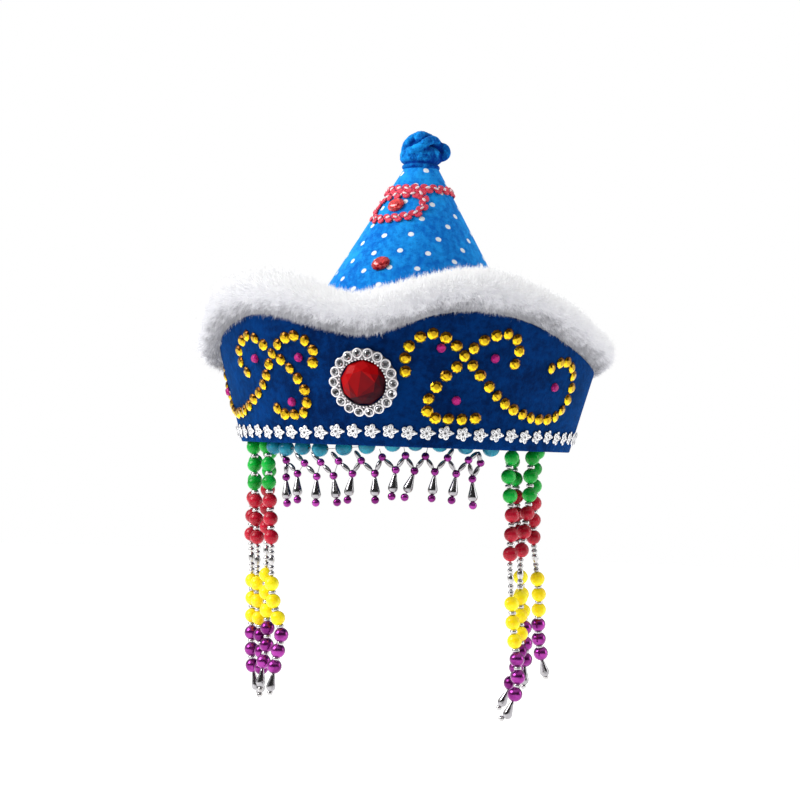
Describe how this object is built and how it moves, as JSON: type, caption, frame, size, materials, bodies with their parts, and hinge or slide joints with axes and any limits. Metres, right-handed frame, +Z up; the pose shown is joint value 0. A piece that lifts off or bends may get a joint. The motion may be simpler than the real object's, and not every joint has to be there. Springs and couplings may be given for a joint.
{
  "type": "mongolian headdress",
  "caption": "Pointed plush cap in a turned-up, fur-edged band, with glued stone scrolls, a framed forehead gem, a beaded net and long bead strands at each temple.",
  "frame": {"origin": "centre of the head opening, in the plane of the band's lower rim", "axes": "+Z up along the crown, -Y to the front with the framed gem, +X to the wearer's left"},
  "size_m": [0.2265, 0.2252, 0.3163],
  "materials": {
    "crown_plush": "short azure plush with white dots",
    "band_plush": "short royal blue plush",
    "fur": "soft white fur",
    "lace": "red scalloped lace with white stitches",
    "silver": "bright silver plating",
    "gold": "gold foiled faceted stones",
    "red_stone": "foiled red faceted stone",
    "magenta": "foiled magenta faceted stone",
    "turquoise": "glossy turquoise bead",
    "strand_beads": "glossy green, red, yellow and metallic purple beads with silver spacers"
  },
  "bodies": {
    "root": {"crown_cone": "crown_plush", "crown_knot": "band_plush", "crown_lace": "lace", "crown_gem_upper": "red_stone", "crown_gem_lower": "red_stone", "brim_band": "band_plush", "fur_trim": "fur", "flower_braid": "silver", "front_setting": "silver", "front_gem": "red_stone", "gold_scroll_right": "gold", "gold_scroll_left": "gold", "magenta_stone_right_1": "magenta", "magenta_stone_right_2": "magenta", "magenta_stone_right_3": "magenta", "magenta_stone_right_4": "magenta", "magenta_stone_left_1": "magenta", "magenta_stone_left_2": "magenta", "magenta_stone_left_3": "magenta", "magenta_stone_left_4": "magenta", "turquoise_string": "turquoise", "forehead_net": "silver", "strand_left_1": "strand_beads", "strand_left_2": "strand_beads", "strand_left_3": "strand_beads", "strand_left_4": "strand_beads", "strand_right_1": "strand_beads", "strand_right_2": "strand_beads", "strand_right_3": "strand_beads", "strand_right_4": "strand_beads"}
  },
  "joints": []
}
